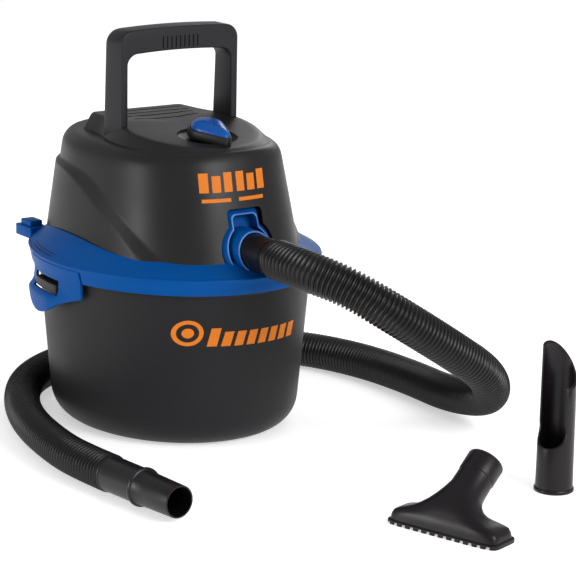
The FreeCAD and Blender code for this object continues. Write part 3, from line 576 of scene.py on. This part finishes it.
def keyhole(r, neck, top, place, samples=14):
    """Round port outline with a neck on top; place turns (x, z) into a point."""
    join = math.acos(neck / r)
    points = []
    for i in range(3 * samples + 1):
        turn = join - (math.pi + 2 * join) * i / (3 * samples)
        points.append((r * math.cos(turn), PORT_Z + r * math.sin(turn)))
    corner = 5.0
    for i in range(samples + 1):
        turn = math.pi - (math.pi / 2) * i / samples
        points.append((-neck + corner + corner * math.cos(turn), top - corner + corner * math.sin(turn)))
    for i in range(samples + 1):
        turn = math.pi / 2 - (math.pi / 2) * i / samples
        points.append((neck - corner + corner * math.cos(turn), top - corner + corner * math.sin(turn)))
    return [place(x, max(z, PAN_TOP - 1)) for x, z in points]


def port_face_y(z, out=0.0):
    return -148.0 + 0.36 * (z - 185.0) - out


def paint_rim_highlight(obj, first, end):
    """Gives the faces from first up to end a paler blue, a painted highlight along the edge."""
    obj.data.materials.append(MATERIAL["painted_highlight_blue"])
    for polygon in obj.data.polygons[first:end]:
        polygon.material_index = 1


def port_surround():
    crown = 1.5

    def row(r, neck, top, out, arch=crown):
        def place(x, z):
            lift = arch * (1 - (x / 20.0) ** 2) if z > PORT_Z + 25 else 0.0
            return (x, port_face_y(z, out), z + lift)
        return keyhole(r, neck, top, place)

    rows = [row(30.8, 19.9, 243.6, -16.0), row(30.8, 19.9, 243.6, -8.0), row(30.2, 19.3, 243.0, -4.5),
            row(28.8, 18.0, 241.4, -2.2), row(27.3, 16.6, 239.6, -0.7), row(26.4, 15.7, 238.6, 0.6),
            row(26.0, 15.3, 238.2, 0.9), row(25.0, 14.3, 237.2, 0.9), row(24.6, 13.9, 236.8, 0.5),
            row(24.2, 13.5, 236.4, -13.0)]
    surround = skin("port_surround", rows)
    finish_piece(surround, "lid", "collar_blue", "lid_collar", angle=40)
    count = len(rows[0])
    # The rim rows get the paler blue of a painted highlight.
    paint_rim_highlight(surround, 5 * count, 7 * count)


def port_ring():
    """Ring round the cuff, cut off parallel to the collar's lean."""
    count = 72

    def loop(r, out, lean=PORT_LEAN):
        points = []
        for t in circle_turns(count):
            z = PORT_Z + r * math.sin(t)
            points.append((r * math.cos(t), -152.6 + lean * (z - PORT_Z) + out, z))
        return points
    rows = [loop(20.8, 30.0, 0.0), loop(20.8, 0.8), loop(20.5, 0.1), loop(20.1, -0.2),
            loop(19.0, -0.2), loop(18.7, 0.2), loop(PORT_IN, 0.8), loop(PORT_IN, 30.0, 0.0)]
    ring = skin("port_ring", rows, ring=True)
    finish_piece(ring, "lid", "collar_blue", "lid_collar", angle=40)
    # The rim rows get the paler blue of a painted highlight.
    paint_rim_highlight(ring, 2 * count, 5 * count)


def latches():
    outline = [(-43, 177.9), (-43, 149), (-30, 145), (-18, 141.3), (-8, 137), (0, 132.4), (8, 128.4),
               (17, 125.4), (27, 124), (37, 124.6), (47, 127.8), (55, 133), (61, 139.5), (64.5, 146),
               (65, 151), (62.5, 156), (60, 160), (60, 177.9)]

    def flare(y, z):
        return 6.5 * ease((151.5 - z) / 9.0) * ease((y + 26) / 34.0)

    def outer_b(z):
        return BAND_B + 0.2 + 3.2 * ease((z - 164) / 16.0)

    left = wall_plate("latch_tab_left", outline, outer_b, lambda z: outer_b(z) - 3.2, flare)
    cut(left, [block("window", -200, -90, -7, 50, 146.5, 162)])
    bevel(left, 0.7, 2, 40)
    right = mirrored(left, "latch_tab_right")
    finish_piece(left, "latch_left", "collar_blue", "latch_left", angle=42)
    finish_piece(right, "latch_right", "collar_blue", "latch_right", angle=42)


# ---- motor cover ----------------------------------------------------------------------------------
def cover_shell():
    """Hollow shell, open below and under the deck."""
    turns = circle_turns(448)
    heights = [PAN_TOP + 0.3, 190, 195] + [199 + 1.6 * i for i in range(47)] + [277.5, 281]
    rise = [math.sin(math.radians(a)) for a in (12, 24, 36, 48, 60, 70, 80, 86)]
    heights += [SHOULDER_LOW + (SHOULDER_TOP - SHOULDER_LOW) * r for r in rise]
    loops = []
    for z in heights:
        loops.append([(*cover_point(t, z), z) for t in turns])
    rim = loops[-1]
    ceiling = SHOULDER_TOP - HEAD_SKIN
    for share, z in ((0.9, SHOULDER_TOP), (0.45, SHOULDER_TOP), (0.45, ceiling), (0.88, ceiling)):
        loops.append([(x * share, y * share, z) for x, y, _ in rim])
    for z in (293, 286, 270, 240, 210, PAN_TOP + 0.3):
        loops.append([(*head_point(t, z, -HEAD_SKIN), z) for t in turns])
    shell = skin("cover_shell", loops, ring=True)
    port = keyhole(31.6, 20.7, 245.0, lambda x, z: (x, z))
    cut(shell, [prism("port_hole", port, "y", -175, -118)])
    return finish_piece(shell, "lid", "cover_grey", "motor_cover", angle=40)


def rounded(points, reach):
    """Outline with its corners rounded by short curves; reach gives each corner's size."""
    out = []
    count = len(points)
    for i, (p, r) in enumerate(zip(points, reach)):
        here = Vector(p)
        before = Vector(points[i - 1]) - here
        after = Vector(points[(i + 1) % count]) - here
        r = min(r, before.length * 0.49, after.length * 0.49)
        a = here + before.normalized() * r
        b = here + after.normalized() * r
        for k in range(7):
            t = k / 6
            out.append(tuple(a * (1 - t) ** 2 + here * 2 * t * (1 - t) + b * t ** 2))
    return out


def deck_z(y):
    return DECK_TOP - DECK_SLOPE * max(0.0, DECK_FOLD - y)


def deck():
    """Raised plateau on the shoulder, with a recess under it for the motor's fan."""
    recess_z, foot_z = 301.5, SHOULDER_TOP - 3
    base = [(66, 81), (66, 42), (80, 4), (83, -36), (74, -80), (40, -108), (0, -117)]
    crest = [(55, 78.5), (57.5, 40), (66, 6), (74, -32), (62, -70), (34, -98), (0, -108.5)]
    reach = [5, 14, 26, 26, 22, 26, 30]
    full_reach = reach + list(reversed(reach[:-1]))
    sections = []
    for side, level in ((base, lambda y: foot_z), (crest, deck_z)):
        full = side + [(-x, y) for x, y in reversed(side[:-1])]
        sections.append([(x, y, level(y)) for x, y in rounded(full, full_reach)])
    low, high = sections
    rows = [[(x * share, y * share, z) for x, y, _ in low]
            for share, z in ((0.2, recess_z), (0.46, recess_z), (0.47, foot_z), (1.0, foot_z))]
    for share, swell in ((0.18, 0.0), (0.5, 0.0), (0.86, 0.0), (0.955, 0.35), (1.0, 0.9)):
        row = []
        for a, b in zip(low, high):
            p = Vector(a).lerp(Vector(b), share)
            p.x *= 1 - swell * 0.02
            p.y -= swell * 0.02 * p.y
            row.append(tuple(p))
        rows.append(row)
    for shrink in (0.93, 0.6):
        rows.append([(x * shrink, y * shrink, deck_z(y * shrink)) for x, y, _ in rows[-1]])
    body = skin("cover_deck", rows)
    cutters = []
    for y, half in ((63, 45), (47, 45), (33, 42), (16, 38)):
        slot = [(-half, y - 1.7), (half, y - 1.7), (half + 2, y), (half, y + 1.7), (-half, y + 1.7),
                (-half - 2, y)]
        cutters.append(prism("slot", slot, "z", DECK_TOP - 5, DECK_TOP + 5))
    cutters.append(finger_dish())
    cut(body, cutters)
    return finish_piece(body, "lid", "cover_grey", "motor_cover", angle=30)


def on_deck(points):
    turn = Matrix.Rotation(math.atan(DECK_SLOPE), 3, "X")
    base = Vector((0, KNOB_Y, deck_z(KNOB_Y)))
    return [tuple(turn @ Vector(p) + base) for p in points]


def finger_dish():
    """Shallow round dish in the deck that the knob stands in."""
    rows = []
    for r, z in ((32.0, 3.0), (31.4, 0.0), (30.4, -2.4), (27.5, -3.6), (18.0, -3.9)):
        rows.append(on_deck([(r * math.cos(t), r * math.sin(t) * 0.96, z) for t in circle_turns(64)]))
    return skin("dish", rows)


# ---- knob -----------------------------------------------------------------------------------------
def teardrop(r, tip, z, nose=5.0, big=40, small=12):
    reach = tip - nose
    turn = math.asin(min(0.95, (r - nose) / reach))
    points = []
    for i in range(big + 1):
        t = -turn + (math.pi + 2 * turn) * i / big
        points.append((r * math.cos(t), r * math.sin(t), z))
    for i in range(1, small):
        t = math.pi + turn + (math.pi - 2 * turn) * i / small
        points.append((nose * math.cos(t), -reach + nose * math.sin(t), z))
    return points


def knob():
    low, top = 2.6, 17.0
    rows = []
    for inset, height in ((0.0, low), (0.0, 7.0), (0.5, 9.6), (1.6, 12.2), (3.6, 14.4), (6.4, 15.9),
                          (9.6, 16.7), (13.0, top)):
        outline = teardrop(KNOB_R - inset, KNOB_TIP - inset * 1.05, height, nose=max(1.2, 5.0 - inset * 0.35))
        rows.append(on_deck([(x, y, z - 0.055 * max(0.0, -y) * (height / top)) for x, y, z in outline]))
    cap = skin("knob_cap_dome", rows)
    finish_piece(cap, "knob", "knob_blue", "knob_cap", angle=55)
    rows = []
    lip = 2.8
    for inset, height in ((1.2, -1.6), (0.4, -0.2), (0.0, 1.0), (0.0, 7.4), (0.5, 8.2), (1.3, 8.4),
                          (2.3, 8.0), (2.5, 6.0)):
        outline = teardrop(KNOB_R + lip - inset, KNOB_TIP + lip - inset, height, nose=5.6 - inset * 0.5)
        rows.append(on_deck(outline))
    skirt = skin("knob_base_skirt", rows)
    tip = -(KNOB_TIP + 1.6)
    corners = [(-0.6, tip - 4), (0.6, tip - 4), (0.6, tip + 3), (-0.6, tip + 3)]
    cut(skirt, [skin("slit", [on_deck([(x, y, z) for x, y in corners]) for z in (-3.0, 12.0)])])
    finish_piece(skirt, "knob", "black_plastic", "knob_skirt", angle=45)


# ---- handle ---------------------------------------------------------------------------------------
def arch_path(outer_x, low_z, corner_z, corner_x, side_z, centre_z, corner_steps=10, top_steps=16):
    """Half outline from the right leg's foot to the middle of the top, then mirrored."""
    half = [(outer_x, low_z + (corner_z - low_z) * i / 8) for i in range(8)]
    for i in range(corner_steps):
        t = math.pi / 2 * i / corner_steps
        half.append((corner_x + (outer_x - corner_x) * math.cos(t),
                     corner_z + (side_z - corner_z) * math.sin(t)))
    for i in range(top_steps):
        x = corner_x * (1 - i / top_steps)
        half.append((x, centre_z - (centre_z - side_z) * (x / corner_x) ** 2))
    return half + [(0.0, centre_z)] + [(-x, z) for x, z in reversed(half)]


def handle():
    foot, front = 278.3, -10
    outer = arch_path(70.7, foot, 397.5, 56.0, 411.7, 413.3)
    inner = arch_path(62.2, foot, 375.3, 49.0, 387.3, 388.9)
    count = len(outer)
    verts, faces = [], []
    ring = 5
    for (xo, zo), (xi, zi) in zip(outer, inner):
        back = 26.0 - 5.0 * min(1.0, max(0.0, (zo - 300) / 102))
        chamfer = (xo * 0.965 + xi * 0.035, zo * 0.93 + zi * 0.07)
        verts += [(xo, front, zo), (xo, back - 6.5, zo), (chamfer[0], back, chamfer[1]), (xi, back, zi),
                  (xi, front, zi)]
    for j in range(count - 1):
        for i in range(ring):
            k = (i + 1) % ring
            faces.append((j * ring + i, j * ring + k, (j + 1) * ring + k, (j + 1) * ring + i))
    faces.append(tuple(range(ring)))
    faces.append(tuple(range((count - 1) * ring, count * ring)))
    body = solid("carry_handle", verts, faces)
    bevel(body, 2.0, 3, 30)
    groove_low, groove_top, half = 391.5, 403.5, 1.0
    grooves = []
    for i in range(9):
        x = -21 + 5.2 * i
        outline = [(x - half, groove_low), (x + half, groove_low), (x + half, groove_top),
                   (x - half, groove_top)]
        grooves.append(prism("groove", outline, "y", front - 2, front + 1.2))
    cut(body, grooves)
    return finish_piece(body, "handle", "handle_grey", "handle", angle=40)


# ---- hose -----------------------------------------------------------------------------------------
def hose_spline():
    curve = bpy.data.curves.new("hose_route", "CURVE")
    curve.dimensions = "3D"
    curve.resolution_u = 24
    spline = curve.splines.new("NURBS")
    spline.points.add(len(ROUTE) - 1)
    for point, (x, y, z) in zip(spline.points, ROUTE):
        point.co = (x * MM, y * MM, z * MM, 1)
    spline.order_u = 3
    spline.use_endpoint_u = True
    guide = bpy.data.objects.new("hose_route", curve)
    bpy.context.scene.collection.objects.link(guide)
    bpy.context.view_layer.update()
    mesh = bpy.data.meshes.new_from_object(guide)
    points = [v.co / MM for v in mesh.vertices]
    bpy.data.objects.remove(guide)
    return points


def even_path(points, step):
    """Points at even distances along a line of points."""
    travelled = [0.0]
    for a, b in zip(points, points[1:]):
        travelled.append(travelled[-1] + (b - a).length)
    total = travelled[-1]
    count = round(total / step)
    out, j = [], 0
    for i in range(count + 1):
        at = total * i / count
        while j < len(points) - 2 and travelled[j + 1] < at:
            j += 1
        share = (at - travelled[j]) / (travelled[j + 1] - travelled[j])
        out.append(points[j].lerp(points[j + 1], share))
    return out, total


def ring_about(centre, side, other, r, count):
    return [tuple(centre + (side * math.cos(t) + other * math.sin(t)) * r) for t in circle_turns(count)]


def swept_rings(path, radii, count):
    """Rings of the given radii round a path, carried along it without twist."""
    rings = []
    side = None
    for i, (p, r) in enumerate(zip(path, radii)):
        ahead = (path[min(i + 1, len(path) - 1)] - path[max(i - 1, 0)]).normalized()
        side = Vector((0, 0, 1)).cross(ahead).normalized() if side is None else side
        side = (side - ahead * side.dot(ahead)).normalized()
        other = ahead.cross(side)
        rings.append(ring_about(p, side, other, r, count))
    return rings


def hose():
    pitch, per_rib, rib_depth = 4.7, 6, 3.5
    cuff_r, smooth_start = 18.0, 4.0
    line = hose_spline()
    path, total = even_path(line, pitch / per_rib)
    ribs = round(total / pitch)
    radii = []
    for i in range(len(path)):
        share = i / (len(path) - 1)
        crest = 20.3 - 0.5 * ease(share / 0.3) - 1.0 * ease((share - 0.45) / 0.5)
        wave = 0.5 + 0.5 * math.cos(2 * math.pi * ribs * share)
        neck = ease((share * total - smooth_start) / 2.0)
        radii.append(cuff_r + (crest - rib_depth * (1 - wave ** 0.6) - cuff_r) * neck)
    tube = skin("suction_hose", swept_rings(path, radii, 44))
    finish_piece(tube, "lid", "hose_black", "hose", angle=180)
    hose_end()


def hose_end():
    """Turned sleeve, raised lip and nose on the free end of the hose."""
    start = Vector(ROUTE[-1])
    ahead = (start - Vector(ROUTE[-2])).normalized()
    profile = [(-3, 17.6), (0.4, 18.3), (1.4, 18.5), (2.4, 18.2), (3.4, 17.5), (20, 17.4), (48.6, 17.3),
               (49.4, 18.2), (50.2, 18.9), (51.2, 19.2), (52.6, 19.2), (53.6, 18.8), (54.4, 17.6), (56, 16.9),
               (72, 16.5), (105.6, 15.9), (106.4, 15.7), (106.9, 15.3), (106.9, 14.5), (106.4, 14.1),
               (60, 14.1), (-3, 14.1)]
    side = Vector((0, 0, 1)).cross(ahead).normalized()
    other = ahead.cross(side)
    rings = [ring_about(start + ahead * s, side, other, r, 72) for s, r in profile]
    end = skin("hose_end_fitting", rings, ring=True)
    return finish_piece(end, "lid", "hose_black", "hose_end", angle=32)


# ---- tools ----------------------------------------------------------------------------------------
def crevice_tool():
    low, high = [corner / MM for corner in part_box("crevice_tool")]
    centre = Vector(((low.x + high.x) / 2, (low.y + high.y) / 2, 0))
    profile = [(16.1, 0.6), (16.6, 0.0), (18.9, 0.0), (19.5, 0.6), (19.6, 2.6), (19.1, 3.6), (18.4, 4.2),
               (18.2, 5.6), (18.0, 30), (17.8, 60), (17.6, 90), (17.4, 120), (17.2, high.z), (15.2, high.z),
               (15.5, 120), (15.7, 90), (15.8, 60), (15.9, 51), (16.0, 49)]
    rings = [circle(r, z, 112) for r, z in profile]
    tool = skin("crevice_tool_body", rings, ring=True)
    depth, opening_turn = -5.4, -80
    side = [(-30, 42.5), (-22, 43.6), (-16, 45.3), (-11.5, 48.0), (-8, 51.8), (-5.6, 56.6), (-4.3, 62),
            (depth, 68), (depth, high.z + 5), (-30, high.z + 5)]
    opening = prism("opening", side, "x", -40, 40)
    opening.data.transform(Matrix.Rotation(math.radians(opening_turn), 4, "Z"))
    slant = [(y, 125 + 1.2 * y) for y in (-30, 30)] + [(30, 220), (-30, 220)]
    cut(tool, [opening, prism("slant", slant, "x", -40, 40)])
    bevel(tool, 0.35, 2, 50)
    tool.data.transform(Matrix.Translation(centre * MM))
    return finish_piece(tool, "crevice_tool", "tool_black", "crevice_tool", angle=40)


def nozzle_section(x, z, tilt, half_long, half_wide, n, count=112):
    """Tilted superellipse of exponent n round (x, z); 2 is an ellipse, and more is squarer."""
    c, s = math.cos(math.radians(tilt)), math.sin(math.radians(tilt))
    loop = []
    for t in circle_turns(count):
        u = flattened(math.cos(t), 2 / n) * half_wide
        v = flattened(math.sin(t), 2 / n) * half_long
        loop.append((x + u * c, v, z - u * s))
    return loop


def utility_nozzle():
    away, rise = math.sin(math.radians(NECK_TILT)), math.cos(math.radians(NECK_TILT))

    def neck(s, r, n=2.0):
        return (s * away, NECK_BASE + s * rise, NECK_TILT, r, r, n)

    outside = [(0, 0, 0, 61, 20.5, 7), (0, 3.4, 0, 61, 20.5, 7), (0, 4.2, 0, 60.2, 19.7, 7),
               (0, 4.6, 0, 58.8, 18.6, 7), (0, 9, 0, 58.2, 18.2, 6.5), (0, 12.3, 0, 56.6, 17.8, 6),
               (0.6, 14.4, 3, 52.5, 17.4, 5), (1.6, 16.0, 6, 46.5, 17.2, 4.4),
               (3, 17.8, 11, 39.5, 17.2, 3.8), (5, 20.2, 18, 33, 17.2, 3.2), (8.3, 23.2, 27, 27, 17.2, 2.8),
               (12.8, 26.2, 36, 22.8, 17.2, 2.5), (18.5, 29.3, 45, 19.6, 17.2, 2.3),
               neck(31.5, 17.6, 2.1), neck(46, 17.4), neck(48, 17.4), neck(48.6, 17.9), neck(49.4, 18.0),
               neck(67, 18.0), neck(68, 17.7), neck(68.5, 17.2)]
    inside = [neck(68.5, 16.5), neck(68, 16.05), neck(31.5, 16.0), (18.5, 28.8, 45, 17.6, 15.2, 2.3),
              (8.3, 21, 27, 25.4, 15.2, 2.8), (3, 14.8, 11, 37.5, 15.2, 3.8), (0, 9.5, 0, 55.5, 16, 6.5),
              (0, 0, 0, 59, 18.6, 7)]
    tool = skin("utility_nozzle_body", [nozzle_section(*s) for s in outside + inside], ring=True)
    starts = [-55 + 9.2 * i for i in range(13)]
    cut(tool, [block("tooth_gap", -30, -14, y, y + 4.4, -1, 2.6) for y in starts])
    tool.data.transform(Matrix.Rotation(math.radians(NOZZLE_TURN), 4, "Z"))
    tool.data.transform(Matrix.Translation(NOZZLE_AT * MM))
    return finish_piece(tool, "utility_nozzle", "tool_black", "utility_nozzle", angle=40)


# ---- printed marks --------------------------------------------------------------------------------
def printed(name, outlines, surface, body, slot, node):
    """Flat print of (x, z) outlines on a curved wall, 0.35 mm thick."""
    bm = bmesh.new()
    for outline in outlines:
        bm.faces.new([bm.verts.new((x, 0, z)) for x, z in outline])
    xs = [x for outline in outlines for x, _ in outline]
    slice_faces(bm, (1, 0, 0), stepped(min(xs) + 3, max(xs), 3))
    front, rear = doubled(bm)
    for verts, out in ((front, 0.22), (rear, -0.5)):
        for v in verts:
            v.co.y = surface(v.co.x, v.co.z) - out
    return finish_piece(from_bmesh(name, bm), body, slot, node, material="decal_orange")


def disc_ring(cx, cz, outer, inner, parts=24):
    """Ring as a row of small four-sided outlines."""
    outlines = []
    for i in range(parts):
        a, b = 2 * math.pi * i / parts, 2 * math.pi * (i + 1) / parts
        outlines.append([(cx + r * math.cos(t), cz + r * math.sin(t))
                         for r, t in ((outer, a), (outer, b), (inner, b), (inner, a))])
    return outlines


def marks():
    def tank_front(x, z):
        b = tank_b(z)
        return -math.sqrt(b * b - (x / NARROW) ** 2)

    slanted = []
    for i in range(8):
        x = -50 + 13.4 * i
        z = 111 - 0.3 * i
        high = 15 + (4 if i == 0 else 0)
        slanted.append([(x, z), (x + 9.4, z), (x + 13.0, z + high), (x + 3.6, z + high)])
    emblem = disc_ring(-67, 125, 13.5, 9.6) + disc_ring(-67, 125, 5.2, 0.05, 16)
    printed("tank_print", emblem + slanted, tank_front, "tank", "tank_black", "tank")
    bars = []
    for x0 in (-45, -6):
        for k in range(3):
            left = x0 + 12.6 * k
            top = 281 - 3 * (k % 2)
            bars.append([(left, 262), (left + 9, 262), (left + 10, top), (left + 1, top)])
        bars.append([(x0 + 1, 252.5), (x0 + 31, 252.5), (x0 + 31, 256), (x0 + 1, 256)])
    printed("cover_print", bars, head_front_y, "lid", "cover_grey", "motor_cover")


# ---- carried CAD nodes ----------------------------------------------------------------------------
def dress_nodes():
    slot_of = {s["node"]: s["material_slot"] for s in frame["record"]["subparts"]}
    for name, obj in frame["nodes"].items():
        for slot in range(len(obj.material_slots)):
            obj.material_slots[slot].material = MATERIAL[slot_of[name]]
        if not obj.material_slots:
            obj.data.materials.append(MATERIAL[slot_of[name]])


# ---- build ----------------------------------------------------------------------------------------
camera()
MATERIAL = make_materials()
hose()
dress_nodes()
tank()
tank_lugs()
collar()
collar_grooves()
brackets()
port_surround()
port_ring()
latches()
cover_shell()
deck()
knob()
handle()
crevice_tool()
utility_nozzle()
marks()
studio()
